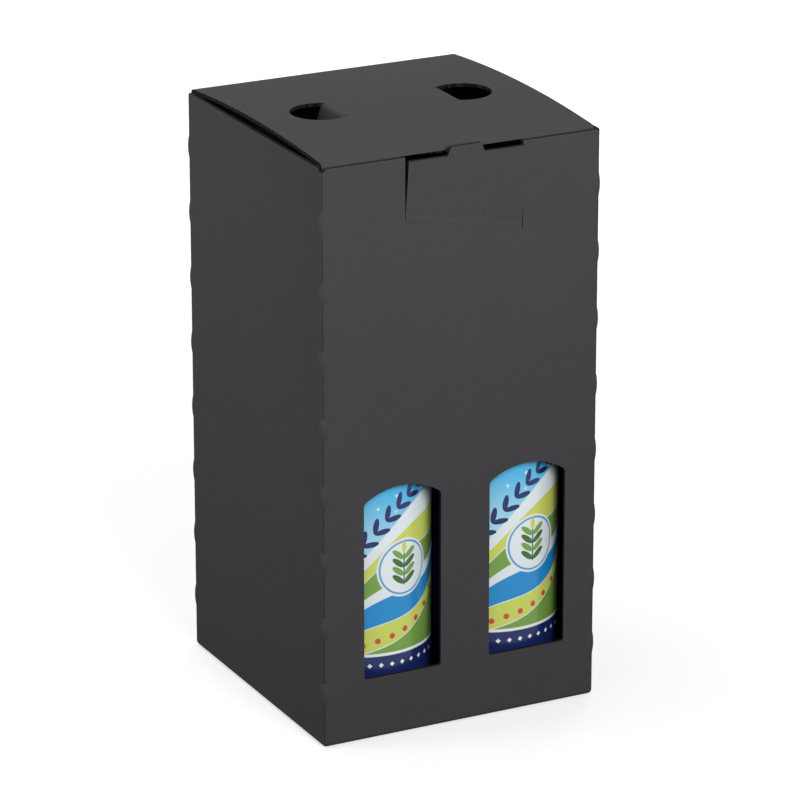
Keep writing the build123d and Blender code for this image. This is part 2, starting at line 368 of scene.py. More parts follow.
# %% [markdown]
# ## A rounded corner
# At the front right the top of the fold isn't a sharp point: the card is rounded off there. A bevel on
# that edge would also run along the walls, so the few top points near the fold are lowered along an
# ellipse, most on the fold itself and nothing at the end of its reach.

# %% Rounded corner at the front right
corner_reach = 2.6 * mm
corner_drop = 1.5 * mm
fold_middle = fold_line + fold_radius * cos(pi / 4)
top_edge = wall_height - 0.01 * mm

lowered = 0
for vert in shell.verts:
    from_fold = hypot(vert.co.x - fold_middle, vert.co.y + fold_middle)
    if vert.co.z > top_edge and from_fold < corner_reach:
        rest_of_reach = 1 - from_fold / corner_reach
        vert.co.z -= corner_drop * (1 - (1 - rest_of_reach ** 2) ** 0.5)
        lowered += 1
print("points lowered at the corner:", lowered)

# %% [markdown]
# ## The thickness of the card
# So far the walls are a skin. A second box could be modelled inside the first, but every bump would have
# to be repeated. The Solidify modifier copies the skin inwards and closes the rim by itself, and its
# material offsets give the inside and the rim finishes of their own. The modifier is then written into
# the mesh, because the holes come next.

# %% Thickness of the walls
outside = 0
inside = 1
cut = 2
score = 3


def new_object(bm, name, *finishes):
    mesh = bpy.data.meshes.new(name)
    bm.to_mesh(mesh)
    bm.free()
    for finish in finishes:
        mesh.materials.append(finish)
    obj = bpy.data.objects.new(name, mesh)
    bpy.context.scene.collection.objects.link(obj)
    return obj


def bake_modifiers(obj):
    graph = bpy.context.evaluated_depsgraph_get()
    mesh = bpy.data.meshes.new_from_object(obj.evaluated_get(graph))
    obj.modifiers.clear()
    obj.data = mesh


def thicken(obj, offset):
    step = obj.modifiers.new("thickness", "SOLIDIFY")
    step.thickness = card
    step.offset = offset
    step.use_even_offset = True
    step.material_offset = inside
    step.material_offset_rim = cut
    bake_modifiers(obj)


carton = new_object(shell, "folded_walls", wall_card, wall_liner, cut_edge, wall_score_shade)
thicken(carton, -1.0)
print("walls with thickness:", len(carton.data.polygons), "faces")

# %% [markdown]
# ## Windows
# Two windows with low-arched tops show the bottles. They could be cut into the wall's faces edge by
# edge, but in card of real thickness a Boolean is safer: a cutter, a solid of the hole's shape, is taken
# away from the walls and leaves its cut-edge finish in the hole. The arch is one point spun about its
# centre, and a vertex bevel softens the four corners before the outline is carried through the wall.

# %% Windows
window_sill = 27.7 * mm
window_width = 36.3 * mm
window_straight = 78.9 * mm
window_rise = 6.0 * mm
window_corner = 1.2 * mm
window_pitch = 59.4 * mm
window_shift = 2.0 * mm
cutter_reach = 4 * card


def carry(bm, faces, direction):
    """Carry flat faces along a direction, which closes them to solids."""
    carried = bmesh.ops.extrude_face_region(bm, geom=faces)
    moved = [item for item in carried["geom"] if isinstance(item, bmesh.types.BMVert)]
    bmesh.ops.translate(bm, vec=direction, verts=moved)
    bmesh.ops.recalc_face_normals(bm, faces=bm.faces)


def window_cutter(name, centre):
    bm = bmesh.new()
    reach = window_width / 2
    spring = window_sill + window_straight
    radius = (reach ** 2 + window_rise ** 2) / (2 * window_rise)
    sweep = 2 * asin(reach / radius)
    front = -half - cutter_reach
    corner = bm.verts.new((centre + reach, front, spring))
    arch_centre = (centre, front, spring + window_rise - radius)
    bmesh.ops.spin(bm, geom=[corner], cent=arch_centre, axis=(0, -1, 0), angle=sweep, steps=24)
    bm.verts.ensure_lookup_table()
    ends = [vert for vert in bm.verts if len(vert.link_edges) == 1]
    low = []
    for end in ends:
        low.append(bm.verts.new((end.co.x, front, window_sill)))
        bm.edges.new((end, low[-1]))
    bm.edges.new(low)
    bmesh.ops.contextual_create(bm, geom=bm.edges[:])
    bmesh.ops.bevel(bm, geom=ends + low, offset=window_corner, offset_type="OFFSET", segments=5,
                    profile=0.5, affect="VERTICES", material=-1)
    carry(bm, bm.faces[:], (0, 2 * cutter_reach, 0))
    return new_object(bm, name, cut_edge)


windows = []
for side, name in ((-1, "left"), (1, "right")):
    windows.append(window_cutter("window_" + name, window_shift + side * window_pitch / 2))
print("window cutters:", [cutter.name for cutter in windows])

# %% [markdown]
# ## Room for the lock tab and the lid
# On the real carton the lock tab and the lid are cut from the same sheet. Here they are pieces of their
# own, because they move, so the walls end where they begin. The tab's gap has a slanted lower edge, just
# below the tab's crease: it is a flat outline, carried through the wall. The lid's gap is a plain box
# that takes off the top of the back wall.

# %% Room for the lock tab and the lid
tab_hinge, tab_crease = hinges["lock_tab_crease"]
tab_width = 54.8 * mm
tab_slant = tab_crease.z / tab_crease.x
tab_left = tab_hinge.x
tab_right = tab_hinge.x + tab_width
crease_left = tab_hinge.z
crease_right = tab_hinge.z + tab_width * tab_slant
crease_strip = 1.5 * mm
strip = crease_strip * hypot(1, tab_slant)
lid_hinge = hinges["lid_fold"][0]
lid_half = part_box("lid")[1].x
lid_gap = 0.4 * mm
fold_strip = 2.7 * mm
inner = half - card


def prism(name, outline, direction):
    """A cutter: a flat outline, carried along a direction."""
    bm = bmesh.new()
    face = bm.faces.new([bm.verts.new(point) for point in outline])
    carry(bm, [face], direction)
    return new_object(bm, name, cut_edge)


def block(name, low, high):
    """A cutter: a box between two corners."""
    bm = bmesh.new()
    bmesh.ops.create_cube(bm, size=1.0)
    bmesh.ops.scale(bm, vec=Vector(high) - Vector(low), verts=bm.verts)
    bmesh.ops.translate(bm, vec=(Vector(high) + Vector(low)) / 2, verts=bm.verts)
    return new_object(bm, name, cut_edge)


over_wall = wall_height + card
outline = [(tab_left, crease_left - strip), (tab_right, crease_right - strip),
           (tab_right, over_wall), (tab_left, over_wall)]
in_front = -half - cutter_reach
tab_gap = prism("tab_gap", [(x, in_front, z) for x, z in outline], (0, 2 * cutter_reach, 0))
fold_gap = block("fold_gap", (-lid_half - lid_gap, inner - card, lid_hinge.z - fold_strip),
                 (lid_half + lid_gap, half + card, wall_height + cutter_reach))
print("the tab's crease falls", round((crease_left - crease_right) / mm, 2), "mm from left to right")

# %% [markdown]
# ## Seams and notches
# Underneath, the two halves of the base meet in a stepped line, and at the back right a fine line shows
# where the sheet is glued. At the top, small round notches end the two folds on the left. A dark line in
# the finish could stand for the seams, but a real groove also catches the light, so they are cutters
# that stop inside the card.

# %% Seams and notches
seam = 0.5 * mm
seam_depth = 0.9 * card
base_lap = 12 * mm
base_slope = 10 * mm
notch_radius = 1.5 * mm


def fold_notch(x_side, y_side):
    """A cutter for the small round notch that ends a fold at the top edge."""
    bm = bmesh.new()
    bmesh.ops.create_cone(bm, cap_ends=True, segments=32, radius1=notch_radius, radius2=notch_radius,
                          depth=2 * cutter_reach)
    lie = Matrix.Rotation(radians(90), 3, "X")
    turn = Matrix.Rotation(radians(-45 * x_side * y_side), 3, "Z")
    bmesh.ops.rotate(bm, cent=(0, 0, 0), matrix=turn @ lie, verts=bm.verts)
    bmesh.ops.translate(bm, vec=(x_side * half, y_side * half, wall_height), verts=bm.verts)
    return new_object(bm, "fold_notch", cut_edge)


seam_half = seam / 2
outline = [(-inner, -base_lap - seam_half), (-base_slope + seam_half, -base_lap - seam_half),
           (base_slope + seam_half, base_lap - seam_half), (inner, base_lap - seam_half),
           (inner, base_lap + seam_half), (base_slope - seam_half, base_lap + seam_half),
           (-base_slope - seam_half, -base_lap + seam_half), (-inner, -base_lap + seam_half)]
base_seam = prism("base_seam", [(x, y, -card) for x, y in outline], (0, 0, card + seam_depth))
glue_seam = block("glue_seam", (inner - seam_half, half - card / 2, -card),
                  (inner + seam_half, half + card, over_wall))
notches = [fold_notch(-1, -1), fold_notch(-1, 1)]
print("cutters:", base_seam.name, glue_seam.name, [notch.name for notch in notches])

# %% [markdown]
# ## Carving the walls
# Now each cutter becomes a Boolean modifier on the walls. The cutters could be joined into one first,
# but where two of them overlap, the joined one would cross itself. A stack of modifiers takes them one
# after another and is written into the mesh in one go. After that the cutters are removed.

# %% Carving the walls
def carve(obj, cutters):
    for cutter in cutters:
        step = obj.modifiers.new("carve", "BOOLEAN")
        step.object = cutter
        step.operation = "DIFFERENCE"
        step.solver = "EXACT"
        step.material_mode = "TRANSFER"
    bake_modifiers(obj)
    for cutter in cutters:
        bpy.data.objects.remove(cutter)


carve(carton, windows + notches + [tab_gap, base_seam, fold_gap, glue_seam])
print("walls with holes:", len(carton.data.polygons), "faces")

# %% [markdown]
# ## Flaps inside the carton
# Two side flaps lie on the base and hold its lap together, and a tapered flap holds the glued corner.
# They are hidden until the lid opens, so folds and bumps would be wasted on them: each is a plain
# trapezium, a face from four corners, carried by the thickness of the card. They join the walls' mesh,
# because on the real carton they are the same sheet.

# %% Flaps inside the carton
flap_reach = 50 * mm
flap_room = 0.6 * mm
glue_width = 22 * mm
glue_taper = 12 * mm
smallest_panel = 400 * mm * mm


def flat_flap(bm, corners, direction):
    face = bm.faces.new([bm.verts.new(corner) for corner in corners])
    carry(bm, [face], direction)


flaps = bmesh.new()
root = inner - flap_room
tip = root - flap_reach / 2
for side in (-1, 1):
    near = side * inner
    far = side * (inner - flap_reach)
    flat_flap(flaps, [(near, -root, card), (near, root, card), (far, tip, card), (far, -tip, card)],
              (0, 0, card))
low = 3 * card
high = wall_height - 2 * card
glue_edge = inner - glue_width
flat_flap(flaps, [(inner, inner, low), (inner, inner, high), (inner, glue_edge, high - glue_taper),
                  (inner, glue_edge, low + glue_taper)], (-card, 0, 0))
for face in flaps.faces:
    face.material_index = inside if face.calc_area() > smallest_panel else cut

walls = bmesh.new()
walls.from_mesh(carton.data)
extra = bpy.data.meshes.new("flaps")
flaps.to_mesh(extra)
flaps.free()
walls.from_mesh(extra)
bpy.data.meshes.remove(extra)
print("flaps joined to the walls:", len(walls.faces), "faces")

# %% [markdown]
# ## Scores between the bridges
# Between two bridges the fold is scored, and a thin darker line shows on the corner, the shade in the
# score. A line in the finish would have to find the fold by its coordinates, while the mesh already has
# points there. So the points on the middle of the fold are sunk a little, and the faces beside them get
# a tone between those of the card's two sides: painted shade for the score's groove.

# %% Scores between the bridges
score_depth = 0.16 * mm
score_shade_band = 0.35 * mm
score_middle = 0.1 * mm


def on_score(point, width):
    out_x = abs(point.x) - fold_line
    out_y = abs(point.y) - fold_line
    glued = point.x > 0 and point.y > 0
    at_skin = hypot(out_x, out_y) > 0.9 * fold_radius and min(out_x, out_y) > 0
    between = bridge_share(point.z) >= 1 and point.z > 2 * fold_radius
    return at_skin and between and not glued and abs(out_x - out_y) < width


# The faces beside the score get the darker score tone: painted shade in the groove.
for face in walls.faces:
    if on_score(face.calc_center_median(), score_shade_band):
        face.material_index = score
for vert in walls.verts:
    if on_score(vert.co, score_middle):
        vert.co.x -= score_depth * (1 if vert.co.x > 0 else -1)
        vert.co.y -= score_depth * (1 if vert.co.y > 0 else -1)
walls.to_mesh(carton.data)
walls.free()
print("scored faces:", sum(1 for face in carton.data.polygons if face.material_index == score))

# %% [markdown]
# ## Shading and riding
# A fold has to look round and a panel flat. Smooth shading alone would bend the light across the whole
# wall, so edges sharper than a limit stay hard, and the Weighted Normal modifier lets the large panels
# decide. The walls then hide the CAD node they stand for and ride on the carton's body.

# %% The walls ride on the carton
fold_shade = radians(25)


def smooth(obj, limit):
    for polygon in obj.data.polygons:
        polygon.use_smooth = True
    obj.data.set_sharp_from_angle(angle=limit)


def shade_folds(obj):
    smooth(obj, fold_shade)
    step = obj.modifiers.new("flat_panels", "WEIGHTED_NORMAL")
    step.keep_sharp = True


def dress(obj, slot, *nodes):
    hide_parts(*nodes)
    print(obj.name, "has", len(obj.data.polygons), "faces")


def tie(obj, body, slot, *nodes):
    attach(obj, body)
    dress(obj, slot, *nodes)


shade_folds(carton)
tie(carton, "carton", "dark_card", "carrier_sleeve")

# %% [markdown]
# ## The lid
# The lid is the same sheet again: it turns forward over the back fold, bows up a little between its
# folds, turns down at the front and tucks in behind the front wall. A flat sheet could be bent by
# modifiers, one for each fold. A side view draws all of it as one line instead, and the hinge, the front
# wall and the height of the bow say where that line has to go.

# %% The lid's line, seen from the side
lid_bow = 2.7 * mm
tuck_clear = 0.35 * mm
tuck_set_back = 1.2 * mm
front_rise = 0.3 * mm
tuck_depth = 20 * mm

lid_back = Vector((0, lid_hinge.y, lid_hinge.z))
lid_front = Vector((0, -half + card + tuck_clear + card / 2 + tuck_set_back, lid_hinge.z + front_rise))
chord = lid_front - lid_back
bow_radius = chord.length ** 2 / (8 * lid_bow) + lid_bow / 2
bow_half = asin(chord.length / 2 / bow_radius)
chord_fall = atan2(chord.z, -chord.y)
up = Vector((0, sin(chord_fall), cos(chord_fall)))
bow_centre = (lid_front + lid_back) / 2 + up * (lid_bow - bow_radius)
back_turn = pi / 2 - bow_half - chord_fall
tuck_lean = atan2(tuck_depth ** 2 / (2 * chord.length) + tuck_clear, tuck_depth)
front_turn = pi / 2 - bow_half + chord_fall + tuck_lean
print("bow radius:", round(bow_radius, 3), "m, tuck lean:", round(tuck_lean / radians(1), 1), "degrees")

# %% [markdown]
# Each bend of the line is a point spun about the bend's centre, and each straight stretch is a point
# extruded and moved. It starts on the back wall, just below the fold, and ends at the lower edge of the
# tuck flap. Carried from left to right, the line becomes a sheet.

# %% The lid's sheet
fold_bend = 1.2 * mm
fold_steps = 10
bow_steps = 60
front_steps = 12


def go_on(bm, vert, move):
    made = bmesh.ops.extrude_vert_indiv(bm, verts=[vert])["verts"]
    bmesh.ops.translate(bm, vec=move, verts=made)
    return made[0]


def spin_point(bm, vert, centre, axis, angle, steps):
    made = bmesh.ops.spin(bm, geom=[vert], cent=centre, axis=axis, angle=angle, steps=steps)
    return [item for item in made["geom_last"] if isinstance(item, bmesh.types.BMVert)][0]


sheet = bmesh.new()
crosswise = (1, 0, 0)
reach_back = fold_bend * tan(back_turn / 2)
point = sheet.verts.new((-lid_half, lid_hinge.y, lid_hinge.z - fold_strip))
point = go_on(sheet, point, (0, 0, fold_strip - reach_back))
back_centre = (0, lid_hinge.y - fold_bend, point.co.z)
point = spin_point(sheet, point, back_centre, crosswise, back_turn, fold_steps)
bow_turn = 2 * bow_half - 2 * reach_back / bow_radius
point = spin_point(sheet, point, bow_centre, crosswise, bow_turn, bow_steps)
heading = Vector((0, -cos(bow_half - chord_fall), -sin(bow_half - chord_fall)))
front_centre = point.co - Vector((0, heading.z, -heading.y)) * fold_bend
point = spin_point(sheet, point, front_centre, crosswise, front_turn, front_steps)
go_on(sheet, point, (0, tuck_depth * sin(tuck_lean), -tuck_depth * cos(tuck_lean)))
carried = bmesh.ops.extrude_edge_only(sheet, edges=sheet.edges[:])
moved = [item for item in carried["geom"] if isinstance(item, bmesh.types.BMVert)]
bmesh.ops.translate(sheet, vec=(2 * lid_half, 0, 0), verts=moved)
print("the lid's sheet:", len(sheet.faces), "faces,", round(2 * lid_half / mm, 1), "mm wide")

# %% [markdown]
# Two things are easier on a sheet than on thick card. A vertex bevel rounds the two lower corners of the
# tuck flap, so that it slips in behind the wall. And all faces are turned to look up and out, because
# Solidify and the finishes have to know which side is the outside.

# %% Corners and sides of the lid's sheet
tuck_corner = 8 * mm

tuck_end = min(vert.co.z for vert in sheet.verts) + 0.01 * mm
tuck_ends = [vert for vert in sheet.verts if vert.co.z < tuck_end and vert.co.y < 0]
bmesh.ops.bevel(sheet, geom=tuck_ends, offset=tuck_corner, offset_type="OFFSET", segments=8, profile=0.5,
                affect="VERTICES", material=-1)
bmesh.ops.recalc_face_normals(sheet, faces=sheet.faces)
middle_faces = [face for face in sheet.faces if abs(face.calc_center_median().y) < half / 3]
if middle_faces[0].normal.z < 0:
    bmesh.ops.reverse_faces(sheet, faces=sheet.faces)
print("rounded corners of the tuck flap:", len(tuck_ends))

# %% [markdown]
# ## Finger holes and the slot
# Two finger holes in the lid are the carrier's handle. Each is a circle cut off by a chord, where its
# flap stays joined. The front fold has a slot for the nose of the lock tab. As in the walls, cutters
# take the holes out of the thickened sheet: two for the fingers, and two boxes for the slot, one from
# above and one from in front.

# %% Finger holes and the slot
hole_radius = 12.9 * mm
hole_middle = 33.5 * mm
hole_chord = 25.6 * mm
slot_room = 0.8 * mm
slot_drop = 4 * mm
slot_reach = 1.0 * mm


def hole_outline(bm, side, radius, height):
    """A circle cut off by a straight line on the side of the lid's middle."""
    bmesh.ops.create_circle(bm, cap_ends=True, radius=radius, segments=96)
    bmesh.ops.translate(bm, vec=(side * hole_middle, 0, height), verts=bm.verts)
    bmesh.ops.bisect_plane(bm, geom=everything(bm), plane_co=(side * hole_chord, 0, 0),
                           plane_no=(side, 0, 0), clear_inner=True)


def hole_cutter(side):
    bm = bmesh.new()
    hole_outline(bm, side, hole_radius, wall_height - cutter_reach)
    carry(bm, bm.faces[:], (0, 0, 3 * cutter_reach))
    return new_object(bm, "finger_hole", cut_edge)


lid = new_object(sheet, "lid_sheet", lid_card, lid_liner, cut_edge)
thicken(lid, 0.0)
slot_middle = (tab_left + tab_right) / 2
slot_half = tab_width / 2 + slot_room
slot_start = (slot_middle - slot_half, -2 * half, wall_height - slot_drop)
slot_right = slot_middle + slot_half
slot_over = block("slot_over", slot_start, (slot_right, -inner + slot_reach, 2 * wall_height))
slot_under = block("slot_under", slot_start, (slot_right, lid_front.y + card, lid_front.z - card / 2))
carve(lid, [hole_cutter(-1), hole_cutter(1), slot_over, slot_under])
print("lid with holes:", len(lid.data.polygons), "faces")

# %% [markdown]
# ## Finishing the lid
# The lid swings on the back fold, but it is never cut off from the wall. Riding on the lid's body alone
# would tear it from the wall's edge when it opens, so here it is tied to no body: its folds get the
# walls' shading, the modifier is written into its mesh, and the CAD lid is hidden.

# %% Finishing the lid
shade_folds(lid)
bake_modifiers(lid)
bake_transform(lid)
dress(lid, "dark_card", "lid")

# %% [markdown]
# ## The lock tab
# A tongue of the front wall stays joined to it along a slanted crease, and its nose stands in the slot
# of the lid and keeps the carton shut. It could be cut out of the wall with a Boolean, but the slits
# beside it have their own shape: open at the top left, closing towards the crease, and almost shut on
# the right. So its outline is drawn as one face, point by point, and the nose gets its small round
# corners from a vertex bevel.

# %% Outline of the lock tab
tab_shoulder = 1.5 * mm
nose_half = 8.6 * mm
nose_rise = 2.4 * mm
nose_slope = 1.6 * mm
nose_round = 0.5 * mm
left_slit_top = 1.1 * mm
left_slit_end = 0.12 * mm
right_slit = 0.3 * mm
right_slit_shut = 0.03 * mm
right_slit_height = 9 * mm

shoulder = wall_height - tab_shoulder
nose_top = wall_height + nose_rise
nose_left = slot_middle - nose_half
nose_right = slot_middle + nose_half
tab_outline = [
    (tab_left + left_slit_end, crease_left - strip),
    (tab_right - right_slit, crease_right - strip),
    (tab_right - right_slit, crease_right + right_slit_height),
    (tab_right - right_slit_shut, shoulder),
    (nose_right, shoulder),
    (nose_right - nose_slope, nose_top),
    (nose_left + nose_slope, nose_top),
    (nose_left, shoulder),
    (tab_left + left_slit_top, shoulder),
]
tongue = bmesh.new()
tongue.faces.new([tongue.verts.new((x, -half, z)) for x, z in tab_outline])
nose_corners = [vert for vert in tongue.verts if vert.co.z > wall_height]
bmesh.ops.bevel(tongue, geom=nose_corners, offset=nose_round, offset_type="OFFSET", segments=3,
                profile=0.5, affect="VERTICES", material=-1)
print("tab outline:", len(tongue.verts), "points")

# %% [markdown]
# The tongue leans out a little, because its crease springs back. Turning it as a stiff plate would leave
# a sharp kink, so the outline is sliced in rows near the crease and each row turns a little more than
# the last. A low bead along the crease shows where the card was pressed.

# %% Bend of the lock tab
tab_lean = radians(3)
lean_reach = 5 * mm
lean_rows = (0, 0.1, 0.2, 0.35, 0.5, 0.65, 0.8, 1)
crease_bead = 0.16 * mm
crease_up = Vector((-tab_crease.z, 0, tab_crease.x))


def side_of_card(face, out):
    """The finish of a face: the outside, the inside or the cut edge, by the way it faces."""
    facing = face.normal.dot(Vector(out))
    if abs(facing) < 0.5:
        return cut
    return outside if facing > 0 else inside


for row in lean_rows:
    slice_at(tongue, tab_hinge + crease_up * (row * lean_reach), crease_up)
carry(tongue, tongue.faces[:], (0, card, 0))
for face in tongue.faces:
    face.material_index = side_of_card(face, (0, -1, 0))
for vert in tongue.verts:
    above = (vert.co - tab_hinge).dot(crease_up)
    if abs(above) < 0.01 * mm and vert.co.y < tab_hinge.y:
        vert.co.y -= crease_bead
    turn = Matrix.Rotation(tab_lean * ease(above / lean_reach), 4, tab_crease)
    vert.co = tab_hinge + turn @ (vert.co - tab_hinge)
tab = new_object(tongue, "tab_tongue", lid_card, lid_liner, cut_edge)
shade_folds(tab)
bake_modifiers(tab)
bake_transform(tab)
dress(tab, "dark_card", "lock_tab")

# %% [markdown]
# ## The finger flaps
# Each finger hole keeps its disc: it is cut round the curve, creased on the straight side and pushed
# down by a finger. It could be modelled hanging, but flat is easier: the hole's own outline, a little
# smaller, is sliced in rows near the chord, carried by the thickness of the card, and rolled tightly
# round the crease until the flap hangs down. The roll's place follows from the hinge.

# %% The finger flaps
flap_gap = 0.4 * mm
flap_drop = radians(80)
flap_roll = 0.9 * mm
roll_rows = 10


def roll_down(bm, side, hinge, crease, rolled):
    for vert in bm.verts:
        out = side * vert.co.x - crease
        if out < 0:
            continue
        angle = min(out / rolled, 1.0) * flap_drop
        radius = flap_roll + vert.co.z - hinge.z
        beyond = max(out - rolled, 0.0)
        vert.co.x = side * (crease + radius * sin(angle) + beyond * cos(angle))
        vert.co.z = hinge.z - flap_roll + radius * cos(angle) - beyond * sin(angle)


def finger_flap(side, name):
    hinge = hinges["finger_flap_" + name + "_fold"][0]
    crease = abs(hinge.x) - flap_roll * tan(flap_drop / 2)
    rolled = flap_roll * flap_drop
    bm = bmesh.new()
    hole_outline(bm, side, hole_radius - flap_gap, hinge.z - card / 2)
    for i in range(roll_rows + 1):
        slice_at(bm, (side * (crease + rolled * i / roll_rows), 0, 0), (1, 0, 0))
    carry(bm, bm.faces[:], (0, 0, card))
    for face in bm.faces:
        face.material_index = side_of_card(face, (0, 0, 1))
    roll_down(bm, side, hinge, crease, rolled)
    flap = new_object(bm, "flap_" + name, lid_card, lid_liner, cut_edge)
    shade_folds(flap)
    bake_modifiers(flap)
    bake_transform(flap)
    dress(flap, "dark_card", "finger_flap_" + name)


finger_flap(-1, "left")
finger_flap(1, "right")

# %% [markdown]
# ## Glass, drink and caps: their finishes
# Brown bottle glass lets light through and tints it. A brown gloss paint would hide the drink, so the
# glass is a clear shader with an amber colour and a slight ripple, as blown glass has. The drink inside
# is a paler gold and partly clear too. Crown caps are tinplate with a lacquer: a metal with a thin coat,
# and small scuffs that change both its colour and its gloss.

# %% Glass, drink and cap finishes
amber_tones = (colour(150, 84, 26), colour(172, 100, 34))
gold_tones = (colour(196, 128, 36), colour(214, 150, 52))
lacquer_tones = (colour(96, 80, 46), colour(114, 97, 60))
ripple_depth = 0.2 * mm
lacquer_matt = 0.3
scuff_matt = 0.25


def toned_finish(name, tones, scale, detail):
    """A finish that wanders between a dark and a light tone, its shader, and the noise that moves it."""
    finish, shader = new_finish(name)
    texture = noise(finish, object_place(finish), scale=scale, detail=detail)
    dark, light = tones
    link(finish, lay_over(finish, dark, light, texture), shader.inputs["Base Color"])
    return finish, shader, texture


amber_glass, glass_shader, ripple = toned_finish("brown_glass", amber_tones, scale=60.0, detail=2.0)
ripple_bump = bump(amber_glass, ripple, strength=0.15, depth=ripple_depth)
link(amber_glass, ripple_bump, glass_shader.inputs["Normal"])
set_values(glass_shader, {"Transmission Weight": 0.92, "Roughness": 0.04, "IOR": 1.5})

drink_finish, drink_shader, _ = toned_finish("golden_drink", gold_tones, scale=35.0, detail=2.0)
set_values(drink_shader, {"Transmission Weight": 0.6, "Roughness": 0.08, "IOR": 1.34})

cap_finish, cap_shader, scuffs = toned_finish("cap_lacquer", lacquer_tones, scale=700.0, detail=4.0)
cap_matt = calc(cap_finish, "MULTIPLY_ADD", scuffs, scuff_matt, lacquer_matt)
link(cap_finish, cap_matt, cap_shader.inputs["Roughness"])
set_values(cap_shader, {"Metallic": 0.85, "Coat Weight": 0.3, "Coat Roughness": 0.2})
print("bottle finishes:", amber_glass.name, drink_finish.name, cap_finish.name)

# %% [markdown]
# ## The wrap's print: masks
# The wrap is glossy paper, printed in clear colours. Print is flat fields of colour and simple shapes.
# They could be painted into a picture, but a formula stays sharp at any distance: each shape is a mask
# that lays one colour over the last. The masks read a UV map in metres. U runs round the bottle from the
# middle of its front, and V runs up from the wrap's lower edge. Two kinds of mask are enough here: what
# lies below or along a line, and what lies inside a turned oval.

# %% Masks for the print
soft = 0.12 * mm
soft_rim = 0.03

print_finish, print_shader = new_finish("wrap_print")
uv = add_node(print_finish, "ShaderNodeTexCoord", {}).outputs["UV"]
print_axes = split(print_finish, uv)
print_u = print_axes["X"]
print_v = print_axes["Y"]


def ink_calc(operation, first, second=0.0, third=0.0):
    return calc(print_finish, operation, first, second, third)


def stamp(layer, ink, mask):
    return lay_over(print_finish, layer, ink, mask)


def below(value, limit):
    return edge_mask(print_finish, value, limit + soft, limit - soft)


def within(value, limit):
    return below(ink_calc("ABSOLUTE", value), limit)


def oval(u, v, turn, long, wide):
    """Distance from the middle of a turned oval: 1 on its rim."""
    out_u = ink_calc("SUBTRACT", print_u, u)
    out_v = ink_calc("SUBTRACT", print_v, v)
    length = ink_calc("MULTIPLY_ADD", out_u, cos(turn), ink_calc("MULTIPLY", out_v, sin(turn)))
    width = ink_calc("MULTIPLY_ADD", out_u, -sin(turn), ink_calc("MULTIPLY", out_v, cos(turn)))
    length = ink_calc("DIVIDE", length, long)
    width = ink_calc("DIVIDE", width, wide)
    return ink_calc("SQRT", ink_calc("MULTIPLY_ADD", length, length, ink_calc("MULTIPLY", width, width)))


def inside_oval(measure, rim=1.0):
    return edge_mask(print_finish, measure, rim + soft_rim, rim - soft_rim)


print("print starts with", len(print_finish.node_tree.nodes), "nodes")

# %% [markdown]
# ## The wrap's print: sky and ribbons
# The ground is a sky that pales downwards, with a few small bubbles near the top. Below it swing ribbons
# of yellow-green, blue and green, each with a pale line along its upper edge. A ribbon is everything
# below one wavy line that climbs from left to right, so the ribbons are laid from the highest to the
# lowest, and each one covers the foot of the last.

# %% Sky and ribbons
ink_sky = colour(76, 188, 240)
ink_sky_pale = colour(176, 226, 248)
ink_pale = colour(236, 246, 250)
ink_lime = colour(212, 224, 104)
ink_green = colour(122, 166, 74)
ink_blue = colour(38, 146, 212)
sky_low = 62 * mm
sky_high = 92 * mm
bubble_low = 70 * mm
bubble_high = 84 * mm
bubble_rim = 0.24
bubble_core = 0.18
bubble_ink = 0.75
ribbon_length = 74 * mm
ribbon_climb = 0.62
pinstripe = 0.22 * mm
# Each ribbon: height and swing in millimetres, start of its wave in radians, and its ink.
ribbons = [(70, 5, 0.6, ink_pale), (62, 5, 1.1, ink_lime), (53, 6, 1.7, ink_green),
           (44, 5, 2.3, ink_pale), (40, 5, 2.6, ink_blue), (31, 5, 3.2, ink_lime),
           (23, 4, 3.8, ink_green)]


def swing(height, rise, shift):
    """Height above a wavy line that climbs from left to right round the wrap."""
    turn = ink_calc("MULTIPLY_ADD", print_u, 2 * pi / ribbon_length, shift)
    line = ink_calc("MULTIPLY_ADD", ink_calc("SINE", turn), rise, height)
    line = ink_calc("MULTIPLY_ADD", print_u, ribbon_climb, line)
    return ink_calc("SUBTRACT", print_v, line)


layer = stamp(ink_sky_pale, ink_sky, edge_mask(print_finish, print_v, sky_low, sky_high))
scattered = {"Vector": uv, "Scale": 210.0, "Randomness": 0.9}
from_bubble = add_node(print_finish, "ShaderNodeTexVoronoi", scattered).outputs["Distance"]
bubbles = edge_mask(print_finish, from_bubble, bubble_rim, bubble_core)
bubbles = ink_calc("MULTIPLY", bubbles, edge_mask(print_finish, print_v, bubble_low, bubble_high))
layer = stamp(layer, ink_pale, ink_calc("MULTIPLY", bubbles, bubble_ink))
for height, rise, shift, ink in ribbons:
    above_line = swing(height * mm, rise * mm, shift)
    layer = stamp(layer, ink, below(above_line, 0))
    layer = stamp(layer, ink_pale, within(above_line, pinstripe))
print("ribbons:", len(ribbons))

# %% [markdown]
# ## The wrap's print: vine and berries
# A vine climbs above the first ribbon, and berries lie in a row on a lower one. Each leaf or berry is a
# turned oval. Copying them by eye would leave them off the curve, so a loop places them with the
# ribbons' own formula and turns the leaves by its slope.

# %% Vine and berries
ink_navy = colour(26, 40, 98)
ink_berry = colour(206, 84, 66)
leaf_long = 3.6 * mm
leaf_wide = 1.25 * mm
vine_line = (76 * mm, 5 * mm, 0.6)
vine_first = -3.5
vine_step = 5.2 * mm
vine_lean = radians(34)
berry_line = (25.5 * mm, 4.5 * mm, 3.5)
berry_first = -2
berry_step = 6.5 * mm
berry_radius = 1.3 * mm
row_count = 8


